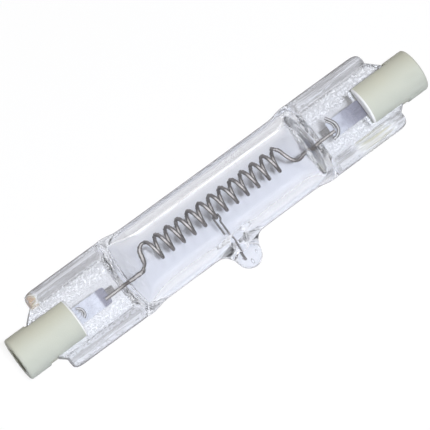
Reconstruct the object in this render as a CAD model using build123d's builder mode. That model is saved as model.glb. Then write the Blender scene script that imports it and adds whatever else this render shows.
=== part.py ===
from build123d import *
from math import asin, cos, hypot, pi, sin
import os

os.makedirs("parts", exist_ok=True)

# A double-ended projection lamp. A quartz tube is pinched flat at both ends round the current
# leads, a tungsten coil hangs along its middle, and each end carries a ceramic cap with a contact.
# X runs along the lamp from its middle. The lamp lies as it comes to rest, on the side of its tube
# and on the tip where it was pumped out, so the flat of the two pinches leans back.

# Whole lamp
lamp_length = 77.6  # over the outer faces of the two caps

# Quartz tube and the hollow in it
tube_diameter = 13.0
tube_wall = 2.1
cavity_length = 33.8  # between the flattened ends of the hollow
cavity_press = 3.4  # length over which each end of the hollow is pressed flat
cavity_flare = 0.3
cavity_mid_gap = 5.8
cavity_end_width = 9.8
cavity_end_gap = 1.0

# Tip where the tube was pumped out and sealed
tip_station = -0.3  # the tip stands a little off the middle
tip_diameter = 4.3
tip_height = 4.2  # above the wall of the tube
tip_flare = 1.9  # radius where the tip runs into the tube
tip_hollow_mouth = 3.0
tip_hollow_end = 1.2
tip_nose_wall = 3.2  # solid glass beyond the hollow

# Shoulders, where the round tube is pressed into a pinch
shoulder_lead = 1.9  # the pressing starts this far before the hollow ends
shoulder_length = 4.4
shoulder_width = 14.1
shoulder_mid_thickness = 9.6
shoulder_end_thickness = 4.2
shoulder_inset = 0.15

# Pinches: a flat web between two rounded side rails
pinch_width = 13.8
rail_thickness = 4.6
rail_round = 1.7
rail_end_round = 1.2
rail_gap = 9.1  # between the rails, at the face of the web
rail_slope = 45
press_lead = 0.9  # the pressed faces start this far before the shoulder ends
web_thickness = 2.8
web_nose_length = 2.2  # how far the web runs on past the rails
web_nose_width = 6.2
web_nose_shoulder = 9.8
web_corner = 0.6

# Ceramic caps, whose axis lies a little off the tube's, towards the tip
cap_diameter = 7.35
cap_length = 10.9
cap_offset = 0.5
cap_edge = 0.4
cap_inner_edge = 0.15
slot_depth = 7.1
slot_clearance = 0.25  # cement on each face of the web
web_gap = 0.4  # cement between the end of the web and the bottom of the slot
socket_diameter = 4.6
socket_depth = 1.7
contact_diameter = 3.9
contact_thickness = 0.9
contact_edge = 0.12
cement_setback = 0.5
cement_inset = 0.2  # the cement stops this far inside the cap's surface

# Tungsten coil
coil_turns = 12
coil_pitch = 2.08
coil_diameter = 4.0
coil_offset = 0.85  # above the tube's axis, away from the tip
wire_diameter = 0.55
wire_sides = 6  # thin wires are six-sided bars, bent in short straight lengths
turn_steps = 14  # straight lengths in one turn
swing_steps = 9  # and in the swing of a leg
leg_offset = 0.95  # of the two straight legs, towards the tip
leg_bury = 5.5  # length of a leg inside the pinch
leg_swing = 2.0  # how far a leg carries on round before it turns along the lamp
leg_turn = 0.28  # where along its run a leg aims, as a share of the way from the coil to the pinch

# Coil support, a thin wire hooked over one strand and held in the tip
hook_wire = 0.3
hook_clearance = 0.08
hook_bend = 0.4
hook_tail = 3.0
hook_jog = 0.34
hook_grip = 1.3  # length of the wire inside the glass of the tip

# Molybdenum foils, weld tabs and outer leads
foil_width = 2.95
foil_thickness = 0.08
foil_length = 6.6
foil_corner = 0.3
foil_overlap = 0.7  # how much of the leg lies on the foil
tab_width = 1.0
tab_length = 1.3
tab_thickness = 0.12
tab_gap = 0.05  # glass between the leg and the tab beside it
lead_diameter = 0.8
lead_overlap = 2.4  # how much of the outer lead lies on the foil
spade_length = 1.3
spade_width = 1.8
spade_thickness = 0.2
lead_seat = 0.4  # depth of the hole in the contact

bend_share = 0.95  # the most of the room for it that a rounding takes

# Worked out from the sizes above
tube_radius = tube_diameter / 2
bore_radius = tube_radius - tube_wall
tip_radius = tip_diameter / 2
tip_reach = tube_radius + tip_height
tip_centre = tip_reach - tip_radius
cavity_end = cavity_length / 2
shoulder_start = cavity_end - shoulder_lead
shoulder_mid = shoulder_start + shoulder_length / 2
shoulder_end = shoulder_start + shoulder_length
bore_end = cavity_end - cavity_press
cap_radius = cap_diameter / 2
cap_end = lamp_length / 2
cap_start = cap_end - cap_length
slot_end = cap_start + slot_depth
slot_width = web_thickness + 2 * slot_clearance
web_end = slot_end - web_gap
rail_end = web_end - web_nose_length
press_start = shoulder_end - press_lead
press_length = 2 * (rail_end - press_start)
press_depth = (rail_thickness - web_thickness) / 2
socket_floor = cap_end - socket_depth
contact_back = socket_floor - contact_thickness
coil_radius = (coil_diameter - wire_diameter) / 2
coil_end = coil_turns * coil_pitch / 2
leg_end = cavity_end + leg_bury
foil_start = leg_end - foil_overlap
foil_end = foil_start + foil_length
lead_start = foil_end - lead_overlap

# The lamp tips over until both the tube and the tip touch the surface that it lies on.
lie_angle = asin((tube_radius - tip_radius) / tip_centre)
axis_y = (tip_centre * cos(lie_angle) + tip_radius - tube_radius) / 2

# The plane of the pinches: local X runs along the lamp, the tip points to local -Y.
flat = Plane(
    origin=(0, axis_y, tube_radius),
    x_dir=(1, 0, 0),
    z_dir=(0, -sin(lie_angle), cos(lie_angle)),
)
# The root of the tip, on the tube's axis and facing out along the tip
tip_root = Plane(flat.from_local_coords((tip_station, 0, 0)), x_dir=flat.x_dir, z_dir=-flat.y_dir)


def outward(side, station, height=0.0):
    """A plane square to the lamp at one end, facing outwards; its local X is the pinch plane's Y."""
    origin = flat.from_local_coords((side * station, height, 0))
    return Plane(origin=origin, x_dir=flat.y_dir, z_dir=(side, 0, 0))


def slab(thickness):
    """The underside of a flat piece of this thickness that lies in the middle of the pinch."""
    return flat.offset(-thickness / 2)


def web_outline(side):
    """Corners of one web, seen from above, from its root in the shoulder to its blunt nose."""
    root, flank = shoulder_mid, rail_gap / 2 + press_depth
    half = [
        (side * root, flank),
        (side * (rail_end - rail_end_round), flank),
        (side * rail_end, web_nose_shoulder / 2),
        (side * web_end, web_nose_width / 2),
    ]
    return half + [(x, -y) for x, y in reversed(half)]


web_rounding = (0, 0, 0, web_corner, web_corner, 0, 0, 0)


# Tungsten coil: a right-handed helix that starts and ends at its top, with a leg at each end
turn_plane = outward(1, -coil_end, coil_offset)
coil_top = coil_offset + coil_radius
turn_rise = coil_pitch / (2 * pi)
turn_slope = hypot(turn_rise, coil_radius)


def leg_swing_curve(side):
    """The curve of one leg, from the last turn of the coil to the flattened end of the hollow."""
    return flat.location * Bezier(
        (side * coil_end, coil_top, 0),
        (
            side * (coil_end + leg_swing * turn_rise / turn_slope),
            coil_top,
            side * leg_swing * coil_radius / turn_slope,
        ),
        (side * (coil_end + leg_turn * (cavity_end - coil_end)), -leg_offset, 0),
        (side * cavity_end, -leg_offset, 0),
    )


turns = turn_plane.location * Helix(coil_pitch, coil_turns * coil_pitch, coil_radius)
coil_steps = coil_turns * turn_steps
left_swing, right_swing = leg_swing_curve(-1), leg_swing_curve(1)
bends = [flat.from_local_coords((-leg_end, -leg_offset, 0))]
bends += [left_swing @ (1 - i / swing_steps) for i in range(swing_steps)]
bends += [turns @ (i / coil_steps) for i in range(coil_steps + 1)]
bends += [right_swing @ ((i + 1) / swing_steps) for i in range(swing_steps)]
bends += [flat.from_local_coords((leg_end, -leg_offset, 0))]
with BuildPart() as filament:
    with BuildLine() as wire_line:
        Polyline(*bends)
    with BuildSketch(Plane(bends[0], x_dir=flat.y_dir, z_dir=flat.x_dir)):
        RegularPolygon(wire_diameter / 2, wire_sides)
    sweep(path=wire_line.wire(), transition=Transition.RIGHT)
    # The ends of the legs are flattened where they lie on the foils.
    with BuildSketch(flat.offset(foil_thickness / 2)):
        with Locations((-leg_end, -leg_offset), (leg_end, -leg_offset)):
            Rectangle(2 * foil_overlap, 2 * wire_diameter)
    extrude(amount=-wire_diameter, mode=Mode.SUBTRACT)
filament.part.label = "filament"
export_step(filament.part, "parts/filament.step")

# Coil support: up from the tip, over the strand at the bottom of the middle turn and down again
strand = flat.from_local_coords((-coil_pitch / 2, coil_offset - coil_radius, 0))
hook_plane = Plane(
    origin=strand,
    x_dir=coil_radius * flat.x_dir + turn_rise * flat.z_dir,
    z_dir=coil_radius * flat.z_dir - turn_rise * flat.x_dir,
)
hook_radius = (wire_diameter + hook_wire) / 2 + hook_clearance
hook_foot = tip_reach - tip_nose_wall + hook_grip + coil_offset - coil_radius
with BuildPart() as filament_support:
    with BuildLine(hook_plane) as hook:
        FilletPolyline(
            (-hook_radius, -hook_tail),
            (-hook_radius, hook_radius),
            (hook_radius, hook_radius),
            (hook_radius, -hook_jog),
            (hook_radius - hook_jog, -hook_jog - hook_radius),
            (hook_radius - hook_jog, -hook_foot),
            radius=(bend_share * hook_radius, bend_share * hook_radius, hook_bend, hook_bend),
        )
    with BuildSketch(Plane(hook.wire() @ 0, z_dir=hook.wire() % 0)):
        RegularPolygon(hook_wire / 2, wire_sides)
    sweep(path=hook.wire())
filament_support.part.label = "filament_support"
export_step(filament_support.part, "parts/filament_support.step")

# Foils, weld tabs and outer leads, one of each in each pinch
buried = [filament.part, filament_support.part]
for side, end in ((-1, "left"), (1, "right")):
    with BuildPart() as seal_foil:
        with BuildSketch(slab(foil_thickness)):
            with Locations((side * (foil_start + foil_length / 2), -cap_offset)):
                RectangleRounded(foil_length, foil_width, foil_corner)
        extrude(amount=foil_thickness)
    seal_foil.part.label = f"seal_foil_{end}"
    export_step(seal_foil.part, f"parts/seal_foil_{end}.step")

    # A small tab lies beside the leg, against the end of the foil.
    tab_station = foil_start - tab_length / 2
    tab_height = (wire_diameter + tab_width) / 2 + tab_gap - leg_offset
    with BuildPart() as weld_tab:
        with BuildSketch(slab(tab_thickness)):
            with Locations((side * tab_station, tab_height)):
                Rectangle(tab_length, tab_width)
        extrude(amount=tab_thickness)
    weld_tab.part.label = f"weld_tab_{end}"
    export_step(weld_tab.part, f"parts/weld_tab_{end}.step")

    # The outer lead runs from a flat pointed spade on the foil to its hole in the contact.
    with BuildPart() as outer_lead:
        with BuildSketch(outward(side, lead_start + spade_length / 2, -cap_offset)):
            Circle(lead_diameter / 2)
        extrude(amount=contact_back + lead_seat - lead_start - spade_length / 2)
        with BuildSketch(flat):
            with BuildLine():
                Polyline(
                    (side * lead_start, -cap_offset),
                    (side * (lead_start + spade_length), -cap_offset + spade_width / 2),
                    (side * (lead_start + spade_length), -cap_offset - spade_width / 2),
                    close=True,
                )
            make_face()
        extrude(amount=spade_thickness)
        with BuildSketch(flat.offset(foil_thickness / 2)):
            with Locations((side * (lead_start + foil_end) / 2, -cap_offset)):
                Rectangle(foil_end - lead_start, max(spade_width, lead_diameter))
        extrude(amount=-lead_diameter, mode=Mode.SUBTRACT)
    outer_lead.part.label = f"outer_lead_{end}"
    export_step(outer_lead.part, f"parts/outer_lead_{end}.step")
    buried += [seal_foil.part, weld_tab.part, outer_lead.part]

# Quartz envelope, one piece: tube, shoulders, pinches and tip
with BuildPart() as glass_envelope:
    # The pinches come first, as two thick slabs with rounded edges and corners.
    for side in (-1, 1):
        with BuildSketch(outward(side, shoulder_mid)):
            RectangleRounded(pinch_width, rail_thickness, rail_round)
        extrude(amount=rail_end - shoulder_mid)
    with BuildSketch(slab(rail_thickness)):
        RectangleRounded(2 * rail_end, pinch_width, rail_end_round)
    extrude(amount=rail_thickness, mode=Mode.INTERSECT)
    # The tube and the tip, which flares into it
    with BuildSketch(outward(-1, shoulder_start)):
        Circle(tube_radius)
    extrude(amount=-2 * shoulder_start)
    with BuildSketch(flat.shift_origin(tip_root.origin)):
        with BuildLine():
            Polyline((0, -tip_reach), (0, 0), (tip_radius, 0), (tip_radius, -tip_centre))
            RadiusArc((tip_radius, -tip_centre), (0, -tip_reach), tip_radius)
        make_face()
    revolve(axis=Axis(tip_root.origin, tip_root.z_dir))
    fillet(edges(Select.NEW), min(tip_flare, bend_share * (tip_height - tip_radius)))
    for side in (-1, 1):
        # The shoulder, from the round of the tube to a flat oval
        with BuildSketch(outward(side, shoulder_start)):
            Circle(tube_radius)
        with BuildSketch(outward(side, shoulder_mid)):
            Ellipse(shoulder_width / 2, shoulder_mid_thickness / 2)
        with BuildSketch(outward(side, shoulder_end)):
            Ellipse(pinch_width / 2 - shoulder_inset, shoulder_end_thickness / 2)
        loft(ruled=True)
        # The faces that the jaws pressed between the rails, with sloping walls
        for face in (-1, 1):
            with BuildSketch(flat.offset(face * rail_thickness / 2)):
                with Locations((side * (press_start + press_length / 2), 0)):
                    Rectangle(press_length, rail_gap + 2 * press_depth)
            extrude(amount=-face * press_depth, taper=rail_slope, mode=Mode.SUBTRACT)
        # The web between the rails, which runs on past them into the cap
        with BuildSketch(slab(web_thickness)):
            with BuildLine():
                FilletPolyline(web_outline(side), radius=web_rounding, close=True)
            make_face()
        extrude(amount=web_thickness)
    # The hollow: round along the tube, pressed flat at each end
    with BuildSketch(outward(-1, bore_end)):
        Circle(bore_radius)
    extrude(amount=-2 * bore_end, mode=Mode.SUBTRACT)
    for side in (-1, 1):
        with BuildSketch(outward(side, bore_end)):
            Circle(bore_radius)
        with BuildSketch(outward(side, cavity_end - cavity_press / 2)):
            Ellipse(bore_radius + cavity_flare, cavity_mid_gap / 2)
        with BuildSketch(outward(side, cavity_end)):
            Ellipse(cavity_end_width / 2, cavity_end_gap / 2)
        loft(ruled=True, mode=Mode.SUBTRACT)
    # The hollow in the tip, which narrows to where the pump's tube was melted off
    with BuildSketch(tip_root.offset(bore_radius - tube_wall)):
        Circle(tip_hollow_mouth / 2)
    with BuildSketch(tip_root.offset(tip_reach - tip_nose_wall)):
        Circle(tip_hollow_end / 2)
    loft(mode=Mode.SUBTRACT)
    # Seats for everything that the glass was pressed or melted onto
    add(buried, mode=Mode.SUBTRACT)
glass_envelope.part.label = "glass_envelope"
export_step(glass_envelope.part, "parts/glass_envelope.step")

# Ceramic caps with their contacts and cement
for side, end in ((-1, "left"), (1, "right")):
    with BuildPart() as ceramic_cap:
        with BuildSketch(outward(side, cap_start, -cap_offset)):
            Circle(cap_radius)
        extrude(amount=cap_length)
        rims = edges().filter_by(GeomType.CIRCLE).sort_by(Axis.X)
        inner_rim, outer_rim = (rims[0], rims[-1]) if side > 0 else (rims[-1], rims[0])
        chamfer(outer_rim, cap_edge)
        chamfer(inner_rim, cap_inner_edge)
        # The slot that straddles the web
        with BuildSketch(outward(side, cap_start, -cap_offset)):
            Rectangle(cap_diameter, slot_width)
        extrude(amount=slot_depth, mode=Mode.SUBTRACT)
        # The socket for the lamp holder's contact, the seat of the lamp's own and the lead's hole
        with BuildSketch(outward(side, cap_end, -cap_offset)):
            Circle(socket_diameter / 2)
        extrude(amount=-socket_depth, mode=Mode.SUBTRACT)
        with BuildSketch(outward(side, socket_floor, -cap_offset)):
            Circle(contact_diameter / 2)
        extrude(amount=-contact_thickness, mode=Mode.SUBTRACT)
        with BuildSketch(outward(side, contact_back, -cap_offset)):
            Circle(lead_diameter / 2)
        extrude(amount=slot_end - contact_back, mode=Mode.SUBTRACT)
    ceramic_cap.part.label = f"ceramic_cap_{end}"
    export_step(ceramic_cap.part, f"parts/ceramic_cap_{end}.step")

    with BuildPart() as contact:
        with BuildSketch(outward(side, contact_back, -cap_offset)):
            Circle(contact_diameter / 2)
        extrude(amount=contact_thickness)
        face = faces().sort_by(Axis.X)[-1 if side > 0 else 0]
        chamfer(face.edges(), contact_edge)
        with BuildSketch(outward(side, contact_back, -cap_offset)):
            Circle(lead_diameter / 2)
        extrude(amount=lead_seat, mode=Mode.SUBTRACT)
    contact.part.label = f"contact_{end}"
    export_step(contact.part, f"parts/contact_{end}.step")

    # White cement fills what the web leaves of the slot.
    with BuildPart() as cap_cement:
        with BuildSketch(outward(side, cap_start + cement_setback, -cap_offset)):
            Circle(cap_radius - cement_inset)
        extrude(amount=slot_depth - cement_setback)
        with BuildSketch(outward(side, cap_start, -cap_offset)):
            Rectangle(cap_diameter, slot_width)
        extrude(amount=slot_depth, mode=Mode.INTERSECT)
        with BuildSketch(slab(web_thickness)):
            with BuildLine():
                FilletPolyline(web_outline(side), radius=web_rounding, close=True)
            make_face()
        extrude(amount=web_thickness, mode=Mode.SUBTRACT)
        with BuildSketch(outward(side, cap_start, -cap_offset)):
            Circle(lead_diameter / 2)
        extrude(amount=slot_depth, mode=Mode.SUBTRACT)
    cap_cement.part.label = f"cap_cement_{end}"
    export_step(cap_cement.part, f"parts/cap_cement_{end}.step")
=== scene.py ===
# %% [markdown]
# # A double-ended projection lamp
#
# The lamp is a thick quartz tube, pinched flat at both ends round the current leads. A tungsten coil
# hangs along its middle, and each end carries a small ceramic cap. The imported model is loaded first.
# It holds every size and place.

from math import asin, atan2, cos, hypot, pi, radians, sin, sqrt

import bmesh
import bpy
from mathutils import Matrix, Vector


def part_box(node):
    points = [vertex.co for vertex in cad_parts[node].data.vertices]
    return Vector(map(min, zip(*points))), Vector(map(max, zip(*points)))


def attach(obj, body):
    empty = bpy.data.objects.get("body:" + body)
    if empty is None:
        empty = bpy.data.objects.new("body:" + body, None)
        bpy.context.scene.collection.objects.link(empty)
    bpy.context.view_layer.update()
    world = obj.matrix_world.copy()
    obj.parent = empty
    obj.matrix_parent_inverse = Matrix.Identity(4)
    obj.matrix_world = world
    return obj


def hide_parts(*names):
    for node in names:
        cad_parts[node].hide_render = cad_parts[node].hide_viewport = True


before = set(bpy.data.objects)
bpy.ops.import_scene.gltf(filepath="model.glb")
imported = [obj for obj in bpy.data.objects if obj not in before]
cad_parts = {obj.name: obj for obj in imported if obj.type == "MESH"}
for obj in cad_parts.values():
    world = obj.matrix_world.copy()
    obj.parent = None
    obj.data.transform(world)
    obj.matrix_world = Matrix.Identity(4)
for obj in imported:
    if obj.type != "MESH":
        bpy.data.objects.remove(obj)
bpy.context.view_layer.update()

# %% [markdown]
# ## Sizes and the lamp's own axes
#
# The lamp lies on its tube and on its tip, so its flat pinches lean back. It is far easier to model
# it straight, with x along the tube, y away from the tip and z out of the flat of the pinches, and
# to lay each finished piece down afterwards.

# %% Sizes in metres, and how the lamp lies
mm = 0.001
_, glass_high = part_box("glass_envelope")
tube_radius = glass_high[2] / 2
bore_radius = 4.4 * mm
tip_radius = 2.15 * mm
tip_reach = tube_radius + 4.2 * mm
tip_station = -0.3 * mm
lean = asin((tube_radius - tip_radius) / (tip_reach - tip_radius))
axis_y = ((tip_reach - tip_radius) * cos(lean) + tip_radius - tube_radius) / 2
lying = Matrix.Translation((0, axis_y, tube_radius)) @ Matrix.Rotation(lean, 4, "X")
print("tube radius", round(tube_radius / mm, 2), "mm, lean", round(lean * 180 / pi, 2), "degrees")


def lay_down(piece):
    """Turns a finished piece from the lamp's own axes to where the lamp lies, in its mesh."""
    bpy.ops.object.select_all(action="DESELECT")
    piece.select_set(True)
    bpy.context.view_layer.objects.active = piece
    piece.matrix_world = lying
    bpy.ops.object.transform_apply(location=True, rotation=True, scale=True)
    return piece


# %% [markdown]
# ## The camera
#
# The photograph looks down on the lamp from a little past its left end, through a long lens, and the
# frame is rolled so that the lamp runs up to the right. The camera is made from three directions:
# the line of sight, and the picture's right and up.

# %% Place the camera
sight = Vector((-0.1786, -0.5381, 0.8237)).normalized()
along = (Vector((1, 0, 0)) - sight * sight.x).normalized()
across = sight.cross(along)
roll = radians(36.29)
right = along * cos(roll) - across * sin(roll)
up = along * sin(roll) + across * cos(roll)
distance = 400 * mm
middle = Vector((0, axis_y, tube_radius)) - right * 0.39 * mm - up * 0.82 * mm
bpy.ops.object.camera_add()
camera = bpy.context.object
camera.name = "photo_camera"
camera.matrix_world = Matrix.Translation(middle + sight * distance) @ Matrix(
    (right, up, sight)
).transposed().to_4x4()
camera.data.lens = 215.95
camera.data.sensor_width = 36
camera.data.clip_start = 0.01
camera.data.clip_end = 20
bpy.context.scene.camera = camera
print("camera at", [round(v, 4) for v in camera.location])

# %% [markdown]
# ## A short way to write shader maths
#
# A procedural finish is a graph of nodes. Written out socket by socket it is long, so a small class
# stands for a number that varies over the surface, and Python's own signs add the Math nodes.

# %% Signals and finishes


class Signal:
    """A number that varies over a surface. Sums and products of signals add Math nodes."""

    def __init__(self, finish, socket):
        self.finish, self.socket = finish, socket

    def math(self, operation, *others, swap=False):
        terms = [self, *others]
        if swap:
            terms.reverse()
        settings = {"operation": operation}
        return self.finish.signal("ShaderNodeMath", settings, dict(enumerate(terms)))

    def __add__(self, other):
        return self.math("ADD", other)

    def __sub__(self, other):
        return self.math("SUBTRACT", other)

    def __rsub__(self, other):
        return self.math("SUBTRACT", other, swap=True)

    def __mul__(self, other):
        return self.math("MULTIPLY", other)

    __radd__ = __add__
    __rmul__ = __mul__

    def between(self, low, high, to_low=0.0, to_high=1.0):
        """A smooth step from to_low to to_high as this signal goes from low to high."""
        settings = {"interpolation_type": "SMOOTHSTEP"}
        inputs = {"Value": self, "From Min": low, "From Max": high, "To Min": to_low, "To Max": to_high}
        return self.finish.signal("ShaderNodeMapRange", settings, inputs, "Result")


class Finish:
    """A node tree for one material, or for the world."""

    def __init__(self, name, tree=None):
        if tree is None:
            self.material = bpy.data.materials.new(name)
            self.material.use_nodes = True
            tree = self.material.node_tree
        self.tree = tree
        tree.nodes.clear()

    def node(self, kind, settings=None, inputs=None):
        made = self.tree.nodes.new(kind)
        for key, value in (settings or {}).items():
            if key == "stops":
                for _ in value[2:]:
                    made.color_ramp.elements.new(0.5)
                for element, (position, colour) in zip(made.color_ramp.elements, value):
                    element.position, element.color = position, (*colour, 1)
            else:
                setattr(made, key, value)
        for key, value in (inputs or {}).items():
            if isinstance(value, Signal):
                value = value.socket
            if isinstance(value, bpy.types.NodeSocket):
                self.tree.links.new(value, made.inputs[key])
            else:
                made.inputs[key].default_value = value
        return made

    def signal(self, kind, settings=None, inputs=None, output=0):
        return Signal(self, self.node(kind, settings, inputs).outputs[output])

    def ray(self, kind):
        """1 for rays of one kind, such as Camera or Shadow, and 0 for all others."""
        return self.signal("ShaderNodeLightPath", output=f"Is {kind} Ray")

    def shader(self, kind, inputs):
        return self.node(kind, None, inputs).outputs[0]

    def mix(self, share, first, second):
        """The first shader where share is 0 and the second where it is 1."""
        return self.shader("ShaderNodeMixShader", {0: share, 1: first, 2: second})

    def place(self):
        """Where on the piece a point is, in metres: x, y and z signals."""
        spot = self.node("ShaderNodeTexCoord").outputs["Object"]
        split = self.node("ShaderNodeSeparateXYZ", None, {0: spot})
        return spot, [Signal(self, socket) for socket in split.outputs]

    def own_place(self, stretch=(1, 1, 1)):
        """The same in the lamp's own axes, with the pattern drawn out by stretch."""
        spot = self.node("ShaderNodeTexCoord").outputs["Object"]
        inputs = {
            "Vector": spot,
            "Location": (0, axis_y, tube_radius),
            "Rotation": (lean, 0, 0),
            "Scale": stretch,
        }
        spot = self.node("ShaderNodeMapping", {"vector_type": "TEXTURE"}, inputs).outputs[0]
        split = self.node("ShaderNodeSeparateXYZ", None, {0: spot})
        return spot, [Signal(self, socket) for socket in split.outputs]

    def noise(self, spot, scale, detail=2.0, roughness=0.5):
        inputs = {"Vector": spot, "Scale": scale, "Detail": detail, "Roughness": roughness}
        return self.signal("ShaderNodeTexNoise", None, inputs)

    def colours(self, factor, stops):
        return self.node("ShaderNodeValToRGB", {"stops": stops}, {0: factor}).outputs["Color"]

    def bump(self, height, distance, strength=1.0):
        inputs = {"Height": height, "Distance": distance, "Strength": strength}
        return self.node("ShaderNodeBump", None, inputs).outputs["Normal"]

    def surface(self, shader):
        self.node("ShaderNodeOutputMaterial", None, {"Surface": shader})
        return self.material


def largest(first, *others):
    """The largest of some signals at each point."""
    for other in others:
        first = first.math("MAXIMUM", other)
    return first


print("shader maths:", Signal.__name__, "is a number over a surface,", Finish.__name__, "a node tree")

# %% [markdown]
# ## The room
#
# Clear glass shows what stands round it. On a white table its flat parts pass white and its edges
# bend to whatever is at the sides. So the room is white for the camera, and a little darker and bluer
# for rays that come off or through the glass. All else gets only a faint warm fill from it, because
# the shade behind the coil is brown in the photograph.

# %% The room
scene = bpy.context.scene
scene.view_settings.view_transform = "Standard"
scene.cycles.max_bounces = 32
scene.cycles.transmission_bounces = 32
scene.cycles.glossy_bounces = 16
scene.world = bpy.data.worlds.new("room")
scene.world.use_nodes = True
room = Finish("room", scene.world.node_tree)
facing = room.node("ShaderNodeNewGeometry").outputs["Normal"]
rise = Signal(room, room.node("ShaderNodeSeparateXYZ", None, {0: facing}).outputs["Z"])
walls = room.colours(
    rise * -0.5 + 0.5,
    [
        (0.0, (0.9, 0.9, 0.92)),
        (0.45, (0.86, 0.87, 0.9)),
        (0.58, (0.8, 0.81, 0.85)),
        (0.72, (0.95, 0.96, 1.0)),
        (1.0, (0.85, 0.87, 0.93)),
    ],
)
through = largest(room.ray("Glossy"), room.ray("Transmission"))
fill = room.shader("ShaderNodeBackground", {"Color": (1.0, 0.75, 0.5, 1), "Strength": 0.09})
sides = room.shader("ShaderNodeBackground", {"Color": walls, "Strength": 1.0})
plain = room.shader("ShaderNodeBackground", {"Color": (1, 1, 1, 1), "Strength": 1.0})
shown = room.mix(room.ray("Camera"), room.mix(through, fill, sides), plain)
room.node("ShaderNodeOutputWorld", None, {"Surface": shown})
print("room:", len(room.tree.nodes), "nodes")

# %% [markdown]
# ## The lamps
#
# The photograph has a broad shade behind each strand of the coil. Two small key lamps stand side by
# side near the camera: each casts a shade of its own, and the two run together into a band. Neither
# is seen in or through the glass, which keeps hard sparkles off it. Three larger and weaker lamps
# soften the rest.

# %% Place the lamps


def soft_lamp(name, direction, reach, size, watts):
    """A soft lamp at some reach from the object, aimed at its middle."""
    place = Vector(direction).normalized() * reach
    bpy.ops.object.light_add(type="AREA", location=place)
    light = bpy.context.object
    light.name = name
    light.data.size = size
    light.data.energy = watts
    light.rotation_euler = (-place).to_track_quat("-Z", "Y").to_euler()
    print(name, "gives", watts, "W from", [round(v, 2) for v in place])
    return light


for name, to_right, to_up in (("key_near", 0.085, 0.055), ("key_far", 0.125, 0.085)):
    key = soft_lamp(name, sight + right * to_right + up * to_up, reach=0.6, size=0.02, watts=1.9)
    key.visible_glossy = key.visible_transmission = False
    key.data.color = (0.95, 0.975, 1.0)
soft_lamp("front_panel", sight + right * 0.05 + up * 0.25, reach=0.6, size=0.14, watts=0.12)
soft_lamp("side_light", (-0.6, -0.5, 0.35), reach=0.7, size=0.35, watts=0.2)
soft_lamp("back_light", (0.3, 0.9, 0.3), reach=0.7, size=0.3, watts=0.25)

# %% [markdown]
# ## The table
#
# The table is matt paper that takes the lamp's shade, mixed with a white glow. The camera sees mostly
# the glow, as paper looks in a bright picture. Rays that come through the glass find it only away from
# the lamp, so that the shade right under the lamp still shows through the glass.

# %% The table
bpy.ops.mesh.primitive_plane_add(size=6)
table = bpy.context.object
table.name = "table_top"
paper = Finish("white_table")
white = paper.shader("ShaderNodeEmission", {"Color": (1, 1, 1, 1), "Strength": 1.05})
matt = paper.shader("ShaderNodeBsdfDiffuse", {"Color": (0.75, 0.755, 0.785, 1)})
spot, _ = paper.place()
away = paper.signal("ShaderNodeVectorMath", {"operation": "LENGTH"}, {0: spot}, "Value")
shade_reach, white_from = 0.06, 0.3
through = largest(paper.ray("Glossy"), paper.ray("Transmission"))
share = paper.ray("Camera") * 0.85 + through * away.between(shade_reach, white_from, 0.0, 0.8)
table.data.materials.append(paper.surface(paper.mix(share, matt, white)))
print("table:", round(table.dimensions.x, 2), "m wide")

# %% [markdown]
# ## Growing a skin ring by ring
#
# Glass that was blown, pressed and melted has no straight edges, so its skin is a coarse cage under a
# Subdivision Surface. The cage grows from one ring of points: the ring is extruded, and the new ring
# is set to its outline. Each point carries a number, so no ring can twist.

# %% Tools for rings


def new_ring(name, count, radius):
    """Starts a piece from a ring square to the lamp, numbered round from +y."""
    bpy.ops.object.select_all(action="DESELECT")
    bpy.ops.mesh.primitive_circle_add(vertices=count, radius=radius, rotation=(0, pi / 2, 0))
    piece = bpy.context.object
    piece.name = name
    bpy.ops.object.transform_apply(location=True, rotation=True, scale=True)
    bpy.ops.object.mode_set(mode="EDIT")
    cage = bmesh.from_edit_mesh(piece.data)
    number = cage.verts.layers.int.new("number")
    for point in cage.verts:
        point[number] = round(atan2(point.co.z, point.co.y) / (2 * pi) * count) % count
    bmesh.update_edit_mesh(piece.data)
    bpy.ops.mesh.select_all(action="SELECT")
    return piece


def grow_ring(spot, extrude=True):
    """Extrudes the selected ring and sets each new point by its number."""
    if extrude:
        bpy.ops.mesh.extrude_region_move(TRANSFORM_OT_translate={"value": (0, 0, 0)})
    mesh = bpy.context.object.data
    cage = bmesh.from_edit_mesh(mesh)
    number = cage.verts.layers.int["number"]
    for point in cage.verts:
        if point.select:
            point.co = spot(point[number])
    bmesh.update_edit_mesh(mesh)


def ring_from_quarter(station, quarter):
    """The spot function of a ring whose quarter outline, from +y to +z, is given in millimetres."""
    count = len(quarter) - 1

    def spot(number):
        turn, step = divmod(number, count)
        y, z = quarter[step] if turn % 2 == 0 else quarter[count - step]
        y = -y if turn in (1, 2) else y
        z = -z if turn in (2, 3) else z
        return (station * mm, y * mm, z * mm)

    return spot


def oval(half_width, half_thickness, count):
    """The quarter outline of an ellipse; the cage stands a little outside the finished skin."""
    grow = 6 / (4 + 2 * cos(pi / 2 / count))
    turns = [pi / 2 * i / count for i in range(count + 1)]
    return [(grow * half_width * cos(t), grow * half_thickness * sin(t)) for t in turns]


def blend_outlines(a, b, share):
    return [(y0 + (y1 - y0) * share, z0 + (z1 - z0) * share) for (y0, z0), (y1, z1) in zip(a, b)]


def apply_modifier(piece, kind, **settings):
    bpy.context.view_layer.objects.active = piece
    modifier = piece.modifiers.new(kind.title(), kind)
    for key, value in settings.items():
        setattr(modifier, key, value)
    bpy.ops.object.modifier_apply(modifier=modifier.name)


print("a ring's cage stands", round(oval(1, 1, 10)[0][0], 4), "times as far out as its skin")

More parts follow.
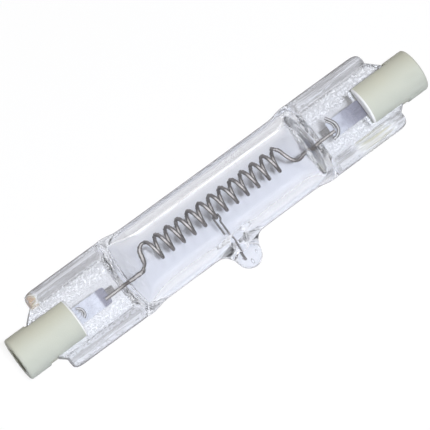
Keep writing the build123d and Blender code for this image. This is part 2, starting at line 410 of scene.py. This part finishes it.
# %% [markdown]
# ## The outside of the quartz
#
# The tube goes from round to flat over a short shoulder, where the jaws of the press stopped. Each
# pinch is a thin web between two thick rails, and the web runs on past the rails into the cap. Only
# the right half is grown, and a Mirror gives the left one.

# %% Grow the right half of the outside
rail = [
    (6.93, 0), (6.93, 0.65), (6.8, 1.25), (6.42, 1.85), (5.9, 2.27), (5.4, 2.33),
    (4.98, 1.95), (4.55, 1.43), (3.1, 1.4), (1.55, 1.4), (0, 1.4),
]
web_end = [
    (4.95, 0), (4.95, 0.45), (4.95, 0.8), (4.95, 1.05), (4.9, 1.25), (4.8, 1.38),
    (4.6, 1.41), (4.2, 1.4), (2.9, 1.4), (1.45, 1.4), (0, 1.4),
]
rail_face = blend_outlines(rail, web_end, 0.32)
quarter_count = len(rail) - 1
tube = oval(6.5, 6.5, quarter_count)
slab = oval(6.9, 2.35, quarter_count)
envelope = new_ring("quartz_envelope", 4 * quarter_count, tube_radius)
grow_ring(ring_from_quarter(0, tube), extrude=False)
for station in (1, 2, 3, 4, 5.4, 8, 11, 13.4, 14.8):
    grow_ring(ring_from_quarter(station, tube))
for station, half_width, half_thickness in ((15.9, 6.66, 5.95), (17.1, 6.98, 4.7), (18.2, 6.98, 3.3)):
    grow_ring(ring_from_quarter(station, oval(half_width, half_thickness, quarter_count)))
grow_ring(ring_from_quarter(18.85, blend_outlines(slab, rail, 0.3)))
grow_ring(ring_from_quarter(19.4, rail))
for station in (20.2, 22, 25, 28, 30.2, 31.3):
    grow_ring(ring_from_quarter(station, rail))
grow_ring(ring_from_quarter(32.05, blend_outlines(rail, rail_face, 0.25)))
grow_ring(ring_from_quarter(32.38, blend_outlines(rail, rail_face, 0.7)))
grow_ring(ring_from_quarter(32.4, rail_face))
grow_ring(ring_from_quarter(32.4, web_end))


def nose(half_width):
    return [(y * half_width / 4.95, z) for y, z in web_end]


for station, half_width in ((32.6, 4.85), (33.6, 3.95), (34.4, 3.2), (34.6, 2.95)):
    grow_ring(ring_from_quarter(station, nose(half_width)))
bpy.ops.mesh.edge_face_add()
bpy.ops.object.mode_set(mode="OBJECT")
apply_modifier(envelope, "MIRROR", use_axis=(True, False, False), merge_threshold=0.01 * mm)
print("outside cage:", len(envelope.data.polygons), "faces")

# %% [markdown]
# ## The tip
#
# The tube was pumped out through a thin pipe, which was melted off and left a tip with a flared
# foot. A round hole is opened in the side of the cage, and rings are grown out of it and rounded off.

# %% Open the side of the cage and grow the tip


def open_side(piece, half_length, half_angle, radius, count):
    """Deletes a patch on the tip's side, rounds the hole's rim about the tip and numbers it."""
    bpy.context.view_layer.objects.active = piece
    bpy.ops.object.mode_set(mode="EDIT")
    bpy.ops.mesh.select_mode(type="FACE")
    bpy.ops.mesh.select_all(action="DESELECT")
    cage = bmesh.from_edit_mesh(piece.data)
    for face in cage.faces:
        middle = face.calc_center_median()
        turn = atan2(middle.z, -middle.y)
        face.select = abs(middle.x) < half_length and abs(turn) < half_angle
    bmesh.update_edit_mesh(piece.data)
    bpy.ops.mesh.delete(type="FACE")
    bpy.ops.mesh.select_mode(type="EDGE")
    bpy.ops.mesh.select_non_manifold(extend=False)
    cage = bmesh.from_edit_mesh(piece.data)
    number = cage.verts.layers.int["number"]
    rim = sorted((p for p in cage.verts if p.select), key=lambda p: atan2(p.co.z, p.co.x))
    start = min(range(len(rim)), key=lambda i: abs(atan2(rim[i].co.z, rim[i].co.x)))
    for i, point in enumerate(rim):
        point[number] = (i - start) % len(rim)
    bmesh.update_edit_mesh(piece.data)
    print(piece.name, "rim of", len(rim), "points")
    grow_ring(ring_on_tube(radius, count, len(rim), 0), extrude=False)
    return len(rim)


def ring_on_tube(radius, tube, count, lift):
    """A ring about the tip's axis that follows the round of a tube and stands off it by lift."""

    def spot(number):
        turn = 2 * pi * number / count
        z = radius * sin(turn)
        return (tip_station + radius * cos(turn), -sqrt(tube**2 - z**2) - lift, z)

    return spot


def ring_across_tip(radius, depth, count):
    """A flat ring about the tip's axis."""

    def spot(number):
        turn = 2 * pi * number / count
        return (tip_station + radius * cos(turn), -depth, radius * sin(turn))

    return spot


cage_tube = tube[0][0] * mm
rim_count = open_side(envelope, 4 * mm, radians(36), 4.1 * mm, cage_tube)
for radius, lift in ((3.45, 0.18), (2.8, 0.7), (2.32, 1.5)):
    grow_ring(ring_on_tube(radius * mm, cage_tube, rim_count, lift * mm))
for radius, depth in ((2.19, 8.55), (2.03, 9.37), (1.55, 10.08), (0.89, 10.5), (0.3, 10.68)):
    grow_ring(ring_across_tip(radius * mm, depth * mm, rim_count))
bpy.ops.mesh.edge_face_add()
bpy.ops.mesh.select_all(action="SELECT")
bpy.ops.mesh.normals_make_consistent(inside=False)
bpy.ops.object.mode_set(mode="OBJECT")
apply_modifier(envelope, "SUBSURF", levels=2, render_levels=2)
print("outside:", len(envelope.data.polygons), "faces")

# %% [markdown]
# ## The hollow
#
# The inside of the tube is a skin of its own. Its normals point into the hollow, because that is the
# way out of the glass, and light is bent the right way only if every face says which side is glass.

# %% Grow the hollow
hollow_count = 9
bore = oval(4.4, 4.4, hollow_count)
hollow = new_ring("hollow", 4 * hollow_count, bore_radius)
left_end = (
    (16.92, 4.6, 0.3), (16.85, 4.88, 0.48), (16.6, 4.9, 0.95),
    (16.15, 4.82, 1.9), (15.4, 4.67, 3.3), (14.6, 4.5, 4.15),
)
right_end = (
    (15.3, 4.5, 4.05), (15.9, 4.65, 3.3), (16.35, 4.75, 2.1),
    (16.65, 4.8, 1.0), (16.85, 4.75, 0.5), (16.92, 4.5, 0.3),
)
for i, (station, half_width, half_thickness) in enumerate(left_end):
    grow_ring(ring_from_quarter(-station, oval(half_width, half_thickness, hollow_count)), extrude=i > 0)
for station in (-13.2, -11, -8, -5, -2.6, -1.5, -0.75, 0, 0.75, 1.5, 2.6, 5, 8, 11, 13.2, 14.6):
    grow_ring(ring_from_quarter(station, bore))
for station, half_width, half_thickness in right_end:
    grow_ring(ring_from_quarter(station, oval(half_width, half_thickness, hollow_count)))
bpy.ops.mesh.edge_face_add()
bpy.ops.mesh.select_all(action="DESELECT")
cage = bmesh.from_edit_mesh(hollow.data)
for point in cage.verts:
    point.select = point.co.x < -16.9 * mm
cage.select_flush_mode()
bmesh.update_edit_mesh(hollow.data)
bpy.ops.mesh.edge_face_add()
bpy.ops.object.mode_set(mode="OBJECT")
rim_count = open_side(hollow, 1.5 * mm, radians(20), 1.6 * mm, bore[0][0] * mm)
for radius, depth in ((1.45, 4.9), (1.2, 5.7), (0.9, 6.7), (0.62, 7.3), (0.3, 7.5)):
    grow_ring(ring_across_tip(radius * mm, depth * mm, rim_count))
bpy.ops.mesh.edge_face_add()
bpy.ops.mesh.select_all(action="SELECT")
bpy.ops.mesh.normals_make_consistent(inside=True)
bpy.ops.object.mode_set(mode="OBJECT")
apply_modifier(hollow, "SUBSURF", levels=2, render_levels=2)
print("hollow:", len(hollow.data.polygons), "faces")

# %% [markdown]
# ## Tools for wire
#
# A bent wire could be extruded ring by ring, but a curve with a round section makes it at once and
# stays easy to bend, and it becomes a mesh at the end. Drawn metal is grey with a fine grain. Its
# round sides get painted shade: the Facing value of a Layer Weight node mixes in a dark finish there.

# %% Draw a wire and finish it


def wire(name, points, radius):
    """Round wire along points given in millimetres, as a mesh."""
    line = bpy.data.curves.new(name, "CURVE")
    line.dimensions = "3D"
    line.bevel_depth = radius * mm
    line.bevel_resolution = 3
    line.use_fill_caps = True
    spline = line.splines.new("POLY")
    spline.points.add(len(points) - 1)
    for point, place in zip(spline.points, points):
        point.co = (*(v * mm for v in place), 1)
    piece = bpy.data.objects.new(name, line)
    bpy.context.collection.objects.link(piece)
    bpy.ops.object.select_all(action="DESELECT")
    piece.select_set(True)
    bpy.context.view_layer.objects.active = piece
    bpy.ops.object.convert(target="MESH")
    bpy.ops.object.shade_smooth()
    return bpy.context.object


def bend(p, q, r, s, t):
    """One coordinate of the smooth curve through p, q, r and s, at share t of the way from q to r."""
    return 0.5 * (
        2 * q + (r - p) * t + (2 * p - 5 * q + 4 * r - s) * t**2 + (3 * q - p - 3 * r + s) * t**3
    )


def smooth(points, steps=6):
    """A smooth line through all but the first and last of these points."""
    line = []
    for four in zip(points, points[1:], points[2:], points[3:]):
        for i in range(steps):
            line.append(tuple(bend(*coordinates, i / steps) for coordinates in zip(*four)))
    return line


def wire_finish(name, dull, bright, roughness):
    """Grey metal with a fine grain, and painted shade on its round sides as the wire turns away."""
    metal = Finish(name)
    spot, _ = metal.place()
    grain = metal.noise(spot, 2500, 2)
    steel = metal.shader(
        "ShaderNodeBsdfPrincipled",
        {
            "Base Color": metal.colours(grain, [(0.3, dull), (0.7, bright)]),
            "Metallic": 0.9,
            "Roughness": grain.between(0, 1, roughness, roughness + 0.2),
            "Normal": metal.bump(grain, 0.02 * mm, 0.5),
        },
    )
    # Painted shade: a dark finish mixed in on the wire's round sides.
    painted_dark_rim = metal.shader("ShaderNodeBsdfPrincipled", {"Base Color": (0.07, 0.06, 0.055, 1), "Roughness": 0.6})
    turned = metal.signal("ShaderNodeLayerWeight", None, {"Blend": 0.5}, "Facing")
    return metal.surface(metal.mix(turned.between(0.03, 0.2, 0.0, 0.93), steel, painted_dark_rim))


print("a bend through 4 points is drawn with", len(smooth([(0, 0), (1, 0), (2, 1), (3, 1)])), "steps")

# %% [markdown]
# ## Gaps and bubbles in the glass
#
# Quartz doesn't wet the metal that it is pressed on. Thin curved gaps stay open round the ends of the
# wires, and a few bubbles in the tip. Each is a skin of its own that faces into its void, so a gap is
# a wire turned inside out. Light is thrown back from a gap, so it gets a silvery finish, with a dark
# rim of painted shade. The quartz material is made here and filled in later, because the skins are
# joined to the envelope with the materials that they have.

# %% Draw the gaps and the bubbles


def turn_inside_out(piece):
    bpy.context.view_layer.objects.active = piece
    bpy.ops.object.mode_set(mode="EDIT")
    bpy.ops.mesh.select_all(action="SELECT")
    bpy.ops.mesh.normals_make_consistent(inside=True)
    bpy.ops.object.mode_set(mode="OBJECT")


gap_height = 0.55
gap_lines = [
    (0.26, [
        (22.0, 1.9), (22.15, 1.65), (22.7, 0.75), (23.05, -0.1),
        (22.9, -1.1), (22.2, -1.75), (21.3, -1.9), (21, -1.9),
    ]),
    (0.16, [(21.8, 1.2), (22.0, 1.05), (22.4, 0.55), (22.6, -0.1), (22.5, -0.75), (22.4, -0.9)]),
    (0.2, [
        (-27.3, 0.7), (-27.05, 0.55), (-26.5, 0.2), (-26.25, -0.4),
        (-26.4, -1.0), (-26.85, -1.3), (-27.0, -1.35),
    ]),
    (0.14, [(-27.1, 0.1), (-26.95, 0.02), (-26.62, -0.2), (-26.6, -0.6), (-26.9, -0.85), (-27.05, -0.9)]),
]
bubbles = [
    (0.28, (-0.5, -9.5, 0.8)),
    (0.2, (0.6, -8.7, 0.6)),
    (0.16, (-1.3, -8.5, 0.5)),
    (0.14, (0.9, -7.6, 0.9)),
]
bubble_shape = (0.7, 1.5, 0.6)
quartz = Finish("clear_quartz")
silver = wire_finish("silvery_gap", (0.8, 0.8, 0.82), (1.0, 1.0, 1.0), 0.25)
for piece in (envelope, hollow):
    piece.data.materials.append(quartz.material)
voids = [hollow]
for radius, outline in gap_lines:
    gap = wire("gap", smooth([(x, y, gap_height) for x, y in outline]), radius)
    turn_inside_out(gap)
    gap.data.materials.append(silver)
    voids.append(gap)
for radius, place in bubbles:
    bpy.ops.object.select_all(action="DESELECT")
    bpy.ops.mesh.primitive_ico_sphere_add(
        subdivisions=3, radius=radius * mm, location=[v * mm for v in place]
    )
    bubble = bpy.context.object
    bubble.scale = bubble_shape
    bpy.ops.object.transform_apply(location=True, rotation=True, scale=True)
    turn_inside_out(bubble)
    bubble.data.materials.append(quartz.material)
    voids.append(bubble)
bpy.ops.object.select_all(action="DESELECT")
for piece in voids + [envelope]:
    piece.select_set(True)
bpy.context.view_layer.objects.active = envelope
bpy.ops.object.join()
bpy.ops.object.shade_smooth()
lay_down(envelope)
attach(envelope, "root")
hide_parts("glass_envelope")
print("envelope:", len(envelope.data.polygons), "faces")

# %% [markdown]
# ## Clear quartz
#
# Quartz bends light a little less than window glass. Its surface is fire-polished and glossy. The
# pressed faces of the pinches are dimpled by the jaws, which makes them glitter.

# %% The quartz finish
shoulder = (18.4 * mm, 19.6 * mm)
rail_side = (4.2 * mm, 4.9 * mm)
spot, (x, y, z) = quartz.own_place()
far = x.math("ABSOLUTE")
out = y.math("ABSOLUTE")
pressed = far.between(*shoulder)
on_rail = out.between(*rail_side) * pressed
drawn, _ = quartz.own_place(stretch=(25, 1, 1))
streaks = quartz.noise(drawn, 1500, 2)
dimples = quartz.noise(spot, 1900, 2, 0.6)
ripples = quartz.noise(spot, 330, 2)
waves = quartz.noise(spot, 70, 1)
relief = (dimples * 0.06 + ripples * 0.16) * pressed + streaks * (on_rail * 0.6 + 0.08) + waves * 0.25
print("relief of dimples, ripples, streaks and waves:", len(quartz.tree.nodes), "nodes")

# %% [markdown]
# A veil over the clear glass carries all that isn't clear. Its grey edge is a painted reflection:
# thick glass shows the dark side of the room at its edge, so a grey veil is painted there, for the
# camera only. The pressed faces carry fine frost and rows of dark dimples, lines and a seam along the
# rails, and one rail of each pinch is stained by the heat: amber on the left and olive on the right.

# %% Where the painted grey edge, frost, dimples and stains lie
facing = quartz.signal("ShaderNodeLayerWeight", None, {"Blend": 0.5}, "Facing")
depth = (y * y + z * z).math("SQRT")
outside = 1 - (1 - depth.between(5.0 * mm, 5.6 * mm)) * (1 - far.between(17.4 * mm, 18.0 * mm))
# The painted grey edge: a grey veil where the glass turns away from the camera, seen by the camera only.
painted_edge_start = 0.72 - pressed * 0.22
painted_edge_shade = (facing - painted_edge_start).between(0.03, 0.15) * outside * quartz.ray("Camera")
clear_share = (1 - on_rail * 0.5) * out.between(1.0 * mm, 2.6 * mm, 0.35, 1.0)
frost = quartz.noise(spot, 3000, 1).between(0.4, 0.66) * pressed * clear_share
inner_row = out.between(4.3 * mm, 4.7 * mm) * (1 - out.between(5.1 * mm, 5.6 * mm))
outer_row = out.between(6.1 * mm, 6.4 * mm)
row = inner_row + outer_row * 0.8
dots = quartz.noise(spot, 2400, 1).between(0.55, 0.66) * pressed * (row * 0.8 + 0.1)
lines = streaks.between(0.5, 0.56) * on_rail
seam = out.between(5.2 * mm, 5.4 * mm) * out.between(5.75 * mm, 5.55 * mm)
seam = seam * pressed * streaks.between(0.35, 0.45)
amber = x.between(-30.2 * mm, -31.2 * mm) * y.between(4.1 * mm, 4.7 * mm) * y.between(6.8 * mm, 6.2 * mm)
amber = amber * ripples.between(0.42, 0.58)
olive = x.between(22 * mm, 25 * mm) * x.between(31.5 * mm, 29 * mm) * y.between(-4.4 * mm, -5.2 * mm)
olive = olive * streaks.between(0.3, 0.55)
print("marks of the quartz:", len(quartz.tree.nodes), "nodes")

# %% [markdown]
# All of it goes into two numbers: tone picks the veil's colour from a ramp, and share says how much
# of the veil covers the clear glass. Clear glass would throw a dark shadow, because light that bends
# twice rarely finds a small lamp, so rays on their way to a lamp pass nearly unchanged.

# %% Mix the veil and the clear glass
# grey holds the painted grey edge together with the real dark dimples, lines and seam.
grey = largest(painted_edge_shade, dots, lines * 0.7, seam * 0.8)
pale = largest(frost, on_rail * 0.8, pressed * 0.4)
tone = largest(pale * 0.4 * (1 - grey), amber, olive * 0.75)
share = largest(grey * 0.7, pale * 0.42, amber * 0.3, olive * 0.36)
clear = quartz.shader(
    "ShaderNodeBsdfPrincipled",
    {
        "Base Color": (0.965, 0.97, 0.985, 1),
        "Roughness": 0.0,
        "IOR": 1.458,
        "Transmission Weight": 1.0,
        "Normal": quartz.bump(relief, 0.4 * mm, 0.7),
    },
)
veil_colours = [
    (0.0, (0.17, 0.16, 0.155)),
    (0.4, (0.9, 0.92, 0.97)),
    (0.75, (0.47, 0.46, 0.34)),
    (1.0, (0.42, 0.29, 0.18)),
]
veil = quartz.shader(
    "ShaderNodeBsdfPrincipled", {"Base Color": quartz.colours(tone, veil_colours), "Roughness": 0.5}
)
passing = quartz.shader("ShaderNodeBsdfTransparent", {"Color": (0.93, 0.935, 0.95, 1)})
quartz.surface(quartz.mix(quartz.ray("Shadow"), quartz.mix(share, clear, veil), passing))
print("envelope finishes:", [material.name for material in envelope.data.materials])

# %% [markdown]
# ## The coil and its legs
#
# The tungsten wire is one piece: a leg from the left pinch, twelve turns, and a leg to the right one.
# The turns are a helix worked out by a loop, and the legs are bent through a few listed points. All
# sizes of the wires are in millimetres, because the wire tool takes them so.

# %% Bend the coil
coil_radius, coil_pitch, coil_turns, coil_offset = 1.725, 2.08, 12, 0.85
leg_offset, leg_end, wire_radius, turn_steps = 0.95, 22.4, 0.31, 32
coil_end = coil_turns * coil_pitch / 2
left_leg = [
    (-12.48, 2.575, 0), (-13.15, 2.6, -0.35), (-13.85, 1.95, -0.85), (-14.15, 0.75, -1.2),
    (-14.55, -0.25, -0.85), (-15.4, -0.8, -0.4), (-16.4, -0.85, -0.05), (-17.6, -0.95, 0),
]
right_leg = [
    (12.48, 2.575, 0), (13.1, 1.75, 0.55), (13.4, 0.5, 0.95), (13.9, -0.6, 0.8), (14.7, -1.15, 0.4),
    (15.8, -1.08, 0.1), (16.8, -0.95, 0), (17.8, -0.95, 0),
]
turns = []
for i in range(coil_turns * turn_steps + 1):
    turn = 2 * pi * i / turn_steps
    station = coil_pitch * i / turn_steps - coil_end
    turns.append((station, coil_offset + coil_radius * cos(turn), coil_radius * sin(turn)))
left_bend = smooth([turns[4]] + left_leg)[1:]
right_bend = smooth([turns[-5]] + right_leg)[1:]
path = [(-leg_end, -leg_offset, 0)] + left_bend[::-1] + turns + right_bend + [(leg_end, -leg_offset, 0)]
coil = lay_down(wire("tungsten_coil", path, wire_radius))
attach(coil, "root")
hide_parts("filament")
print("coil:", len(coil.data.polygons), "faces")

# %% [markdown]
# ## The support
#
# The support is a hair-thin wire that hooks over one strand in the middle and stands in the tip. The
# strand runs at a slope, so the hook is drawn flat, on two directions that lie square to the strand.

# %% Bend the support
support_radius, hook_radius, short_end, foot = 0.15, 0.505, -3.0, -7.9
hook_steps, neck = 12, 0.34
rise = coil_pitch / (2 * pi)
slope = hypot(rise, coil_radius)
strand = Vector((-coil_pitch / 2, coil_offset - coil_radius, 0))
hook_x = Vector((coil_radius, 0, 0)) / slope + Vector((0, 0, rise)) / slope
hook_y = Vector((0, 1, 0))
hook = [(-hook_radius, short_end), (-hook_radius, short_end / 2), (-hook_radius, 0)]
for i in range(1, hook_steps + 1):
    turn = pi - pi * i / hook_steps
    hook.append((hook_radius * cos(turn), hook_radius * sin(turn)))
for inward, down in ((0, -0.34), (0.05, -0.5), (0.29, -0.72), (neck, -0.95), (neck, -3.0), (neck, foot)):
    hook.append((hook_radius - inward, down))
support_path = [tuple(strand + hook_x * a + hook_y * b) for a, b in hook]
support = lay_down(wire("support_wire", support_path, support_radius))
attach(support, "root")
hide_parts("filament_support")
print("support:", len(support.data.polygons), "faces")

# %% [markdown]
# ## Tungsten
#
# Drawn tungsten is a warm grey metal with a soft shine. The support is so thin that it hardly shines
# and looks nearly black. Both use the wire finish from above, with other greys.

# %% The tungsten finish


def coat(piece, material):
    """Gives a piece one material in place of any that it had."""
    piece.data.materials.clear()
    piece.data.materials.append(material)


dark_wire = wire_finish("dark_support_wire", (0.2, 0.19, 0.19), (0.34, 0.33, 0.33), 0.3)
coat(coil, wire_finish("drawn_tungsten", (0.6, 0.56, 0.53), (0.86, 0.82, 0.79), 0.22))
coat(support, dark_wire)
print("wires are finished as", coil.data.materials[0].name, "and", dark_wire.name)

# %% [markdown]
# ## The ceramic caps
#
# Each cap is a pressed ceramic barrel with a slot that straddles the web and a socket in its face.
# One is turned out of a cylinder: the socket is inset and sunk, the rims are rounded, and the slot
# is cut with a Boolean. The other is its mirror image, so its faces have to be turned out again.

# %% Model one cap and mirror it
cap_start, cap_end, cap_y, cap_radius = 27.9 * mm, 38.8 * mm, -0.5 * mm, 3.675 * mm
socket_radius, socket_depth, seat_radius, seat_depth = 2.3 * mm, 1.7 * mm, 1.95 * mm, 0.9 * mm
slot_depth, slot_width, slot_reach = 7.1 * mm, 3.3 * mm, 10 * mm
face_round, inner_round, socket_round, edge_round = 0.42 * mm, 0.3 * mm, 0.12 * mm, 0.08 * mm
near = 0.01 * mm


def select_where(piece, kind, test):
    """Selects the faces or edges whose middle and direction pass a test."""
    bpy.ops.mesh.select_mode(type=kind)
    bpy.ops.mesh.select_all(action="DESELECT")
    cage = bmesh.from_edit_mesh(piece.data)
    for part in cage.faces if kind == "FACE" else cage.edges:
        if kind == "FACE":
            part.select = test(part.calc_center_median(), part.normal)
        else:
            ends = [end.co for end in part.verts]
            part.select = test((ends[0] + ends[1]) / 2, ends[1] - ends[0])
    cage.select_flush_mode()
    bmesh.update_edit_mesh(piece.data)


bpy.ops.object.select_all(action="DESELECT")
bpy.ops.mesh.primitive_cylinder_add(
    vertices=72,
    radius=cap_radius,
    depth=cap_end - cap_start,
    location=((cap_start + cap_end) / 2, cap_y, 0),
    rotation=(0, pi / 2, 0),
)
cap = bpy.context.object
cap.name = "cap_right"
bpy.ops.object.transform_apply(location=True, rotation=True, scale=True)
bpy.ops.object.mode_set(mode="EDIT")
select_where(cap, "EDGE", lambda middle, run: middle.x > cap_end - near)
bpy.ops.mesh.bevel(offset=face_round, segments=5, profile=0.5)
select_where(cap, "EDGE", lambda middle, run: middle.x < cap_start + near)
bpy.ops.mesh.bevel(offset=inner_round, segments=3, profile=0.5)
select_where(cap, "FACE", lambda middle, normal: normal.x > 0.99)
bpy.ops.mesh.inset(thickness=cap_radius - face_round - socket_radius - socket_round)
bpy.ops.mesh.inset(thickness=socket_round, depth=-socket_round)
bpy.ops.mesh.extrude_region_move(TRANSFORM_OT_translate={"value": (socket_round - socket_depth, 0, 0)})
bpy.ops.mesh.inset(thickness=socket_radius - seat_radius)
bpy.ops.mesh.extrude_region_move(TRANSFORM_OT_translate={"value": (-seat_depth, 0, 0)})
bpy.ops.mesh.select_all(action="SELECT")
bpy.ops.mesh.normals_make_consistent(inside=False)
bpy.ops.object.mode_set(mode="OBJECT")
bpy.ops.object.select_all(action="DESELECT")
bpy.ops.mesh.primitive_cube_add(
    size=1, location=(cap_start, cap_y, 0), scale=(2 * slot_depth, slot_reach, slot_width)
)
cutter = bpy.context.object
apply_modifier(cap, "BOOLEAN", operation="DIFFERENCE", object=cutter, solver="EXACT")
bpy.data.objects.remove(cutter)
apply_modifier(cap, "BEVEL", width=edge_round, segments=2, limit_method="ANGLE", angle_limit=radians(50))
print("cap:", len(cap.data.polygons), "faces")


def shade_by_angle(piece):
    bpy.ops.object.select_all(action="DESELECT")
    piece.select_set(True)
    bpy.context.view_layer.objects.active = piece
    bpy.ops.object.shade_smooth_by_angle(angle=radians(35))


caps = [cap, cap.copy()]
caps[1].data = cap.data.copy()
caps[1].name = "cap_left"
bpy.context.collection.objects.link(caps[1])
bpy.ops.object.select_all(action="DESELECT")
caps[1].select_set(True)
bpy.context.view_layer.objects.active = caps[1]
caps[1].scale = (-1, 1, 1)
bpy.ops.object.transform_apply(location=True, rotation=True, scale=True)
bpy.ops.object.mode_set(mode="EDIT")
bpy.ops.mesh.select_all(action="SELECT")
bpy.ops.mesh.normals_make_consistent(inside=False)
bpy.ops.object.mode_set(mode="OBJECT")
for piece in caps:
    shade_by_angle(piece)
    lay_down(piece)
    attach(piece, "root")
    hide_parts("ceramic_" + piece.name)

# %% [markdown]
# ## The sealing foils
#
# Current passes the seal through foil a few hundredths of a millimetre thick. It wrinkles when the hot
# glass is pressed on it. A fine grid is narrowed at its ends, a Displace modifier with a cloud
# texture wrinkles it, and Solidify gives it its thickness.

# %% Wrinkle the foils
foil_middle, foil_length, foil_width, foil_thickness = 25 * mm, 6.6 * mm, 2.95 * mm, 0.05 * mm
wrinkle_height = 0.3 * mm
wrinkles = bpy.data.textures.new("wrinkles", "CLOUDS")
wrinkles.noise_scale = 0.9 * mm
foils = []
for side, end in ((-1, "left"), (1, "right")):
    bpy.ops.object.select_all(action="DESELECT")
    bpy.ops.mesh.primitive_grid_add(
        x_subdivisions=52, y_subdivisions=24, size=1, location=(side * foil_middle, cap_y, 0)
    )
    sheet = bpy.context.object
    sheet.name = "foil_" + end
    sheet.scale = (foil_length, foil_width, 1)
    bpy.ops.object.transform_apply(location=True, rotation=True, scale=True)
    bpy.ops.object.mode_set(mode="EDIT")
    for reach, share in ((0.44, 0.97), (0.465, 0.95), (0.485, 0.9)):
        bpy.ops.mesh.select_mode(type="VERT")
        bpy.ops.mesh.select_all(action="DESELECT")
        cage = bmesh.from_edit_mesh(sheet.data)
        for point in cage.verts:
            point.select = abs(point.co.x - side * foil_middle) > reach * foil_length
        bmesh.update_edit_mesh(sheet.data)
        bpy.ops.transform.resize(value=(1, share, 1), center_override=(side * foil_middle, cap_y, 0))
    bpy.ops.object.mode_set(mode="OBJECT")
    apply_modifier(
        sheet, "DISPLACE", texture=wrinkles, texture_coords="LOCAL", strength=wrinkle_height, mid_level=0.5
    )
    apply_modifier(sheet, "SOLIDIFY", thickness=foil_thickness, offset=0)
    bpy.ops.object.shade_smooth()
    lay_down(sheet)
    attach(sheet, "root")
    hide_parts("seal_foil_" + end)
    foils.append(sheet)
print("foils:", len(foils[0].data.polygons), "faces each")

# %% [markdown]
# ## Ceramic
#
# The caps are of dull, faintly grainy ceramic, a darker grey-green on the side of the tip and paler
# and yellower away from it, on the upper side as the lamp lies; that paler upper side is painted light.
# The rim that faces the glass is paler still, a bluish white. One number, from the place and some
# noise, picks the colour from a ramp, and its last stop is kept for that rim.

# %% The ceramic finish
ceramic = Finish("pale_ceramic")
spot, (x, y, _) = ceramic.own_place()
cloud = ceramic.noise(spot, 350, 4)
grit = ceramic.noise(spot, 5000, 3)
pale_rim = x.math("ABSOLUTE").between(28.3 * mm, 28.2 * mm, 0.0, 2.0)
# Painted light: the colour grows paler and yellower away from the tip, towards the upper side; cloud adds a
# random tone.
shade = y.between(-4.2 * mm, 3.2 * mm) * 0.7 + cloud * 0.3 + pale_rim
ceramic_colours = [
    (0.05, (0.47, 0.5, 0.46)),
    (0.25, (0.54, 0.56, 0.5)),
    (0.45, (0.58, 0.58, 0.48)),
    (1.0, (0.8, 0.81, 0.84)),
]
glaze = ceramic.shader(
    "ShaderNodeBsdfPrincipled",
    {
        "Base Color": ceramic.colours(shade * 0.5, ceramic_colours),
        "Roughness": grit.between(0.2, 0.8, 0.45, 0.65),
        "Normal": ceramic.bump(grit, 0.03 * mm, 0.5),
    },
)
ceramic_material = ceramic.surface(glaze)
print(ceramic_material.name, "has", len(ceramic.tree.nodes), "nodes")

# %% [markdown]
# ## Foil
#
# Molybdenum foil is bright grey, and turns dark and bluish where it gets hot: towards the cap on the
# right, and only at its inner end on the left. The outer leads are of the same metal.

# %% The foil finish
foil = Finish("bluish_foil")
spot, (x, _, _) = foil.own_place()
crinkle = foil.noise(spot, 900, 3)
hot_right = x.between(22.6 * mm, 27.4 * mm)
hot_left = x.between(-23.4 * mm, -22.9 * mm) * x.between(-20 * mm, -20.6 * mm)
heat = largest(hot_right, hot_left) * 0.8 + crinkle * 0.3
sheet_metal = foil.shader(
    "ShaderNodeBsdfPrincipled",
    {
        "Base Color": foil.colours(
            heat, [(0.1, (0.66, 0.69, 0.78)), (0.5, (0.4, 0.41, 0.5)), (0.95, (0.2, 0.2, 0.27))]
        ),
        "Metallic": 0.35,
        "Roughness": crinkle.between(0.3, 0.7, 0.3, 0.55),
        "Normal": foil.bump(crinkle, 0.08 * mm, 0.5),
    },
)
foil_material = foil.surface(sheet_metal)
print(foil_material.name, "has", len(foil.tree.nodes), "nodes")

# %% [markdown]
# ## Contacts and cement
#
# The contacts are nickel plates with a brown tarnish, deep in the sockets. The cement that holds each
# cap on its web is coarse and white, with no shine at all. Both need only one noise.

# %% The contact and cement finishes
plate = Finish("dull_contact")
spot, _ = plate.place()
tarnish = plate.noise(spot, 1200, 4)
nickel = plate.shader(
    "ShaderNodeBsdfPrincipled",
    {
        "Base Color": plate.colours(tarnish, [(0.35, (0.2, 0.19, 0.12)), (0.65, (0.42, 0.4, 0.3))]),
        "Metallic": 0.8,
        "Roughness": tarnish.between(0.3, 0.7, 0.35, 0.6),
    },
)
paste = Finish("white_cement")
spot, _ = paste.place()
crumb = paste.noise(spot, 2500, 4)
dry = paste.shader(
    "ShaderNodeBsdfPrincipled",
    {
        "Base Color": paste.colours(crumb, [(0.3, (0.45, 0.47, 0.41)), (0.7, (0.6, 0.61, 0.54))]),
        "Roughness": 0.9,
        "Normal": paste.bump(crumb, 0.05 * mm, 0.6),
    },
)
contact_material = plate.surface(nickel)
cement_material = paste.surface(dry)
print(contact_material.name, "and", cement_material.name, "are ready")

# %% [markdown]
# ## Finishes for the pieces
#
# The caps and the foils were modelled here. Contacts, cement, weld tabs and outer leads are plain
# shapes that hardly show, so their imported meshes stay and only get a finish. The weld tabs are small
# and burnt, as dark as the support wire.

# %% Give the finishes to the pieces
for pieces, material in ((caps, ceramic_material), (foils, foil_material)):
    for piece in pieces:
        coat(piece, material)
carried = {
    "contact": contact_material,
    "cap_cement": cement_material,
    "weld_tab": dark_wire,
    "outer_lead": foil_material,
}
for name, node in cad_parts.items():
    material = carried.get(name.rsplit("_", 1)[0])
    if material:
        coat(node, material)
        print(name, "is finished as", material.name)
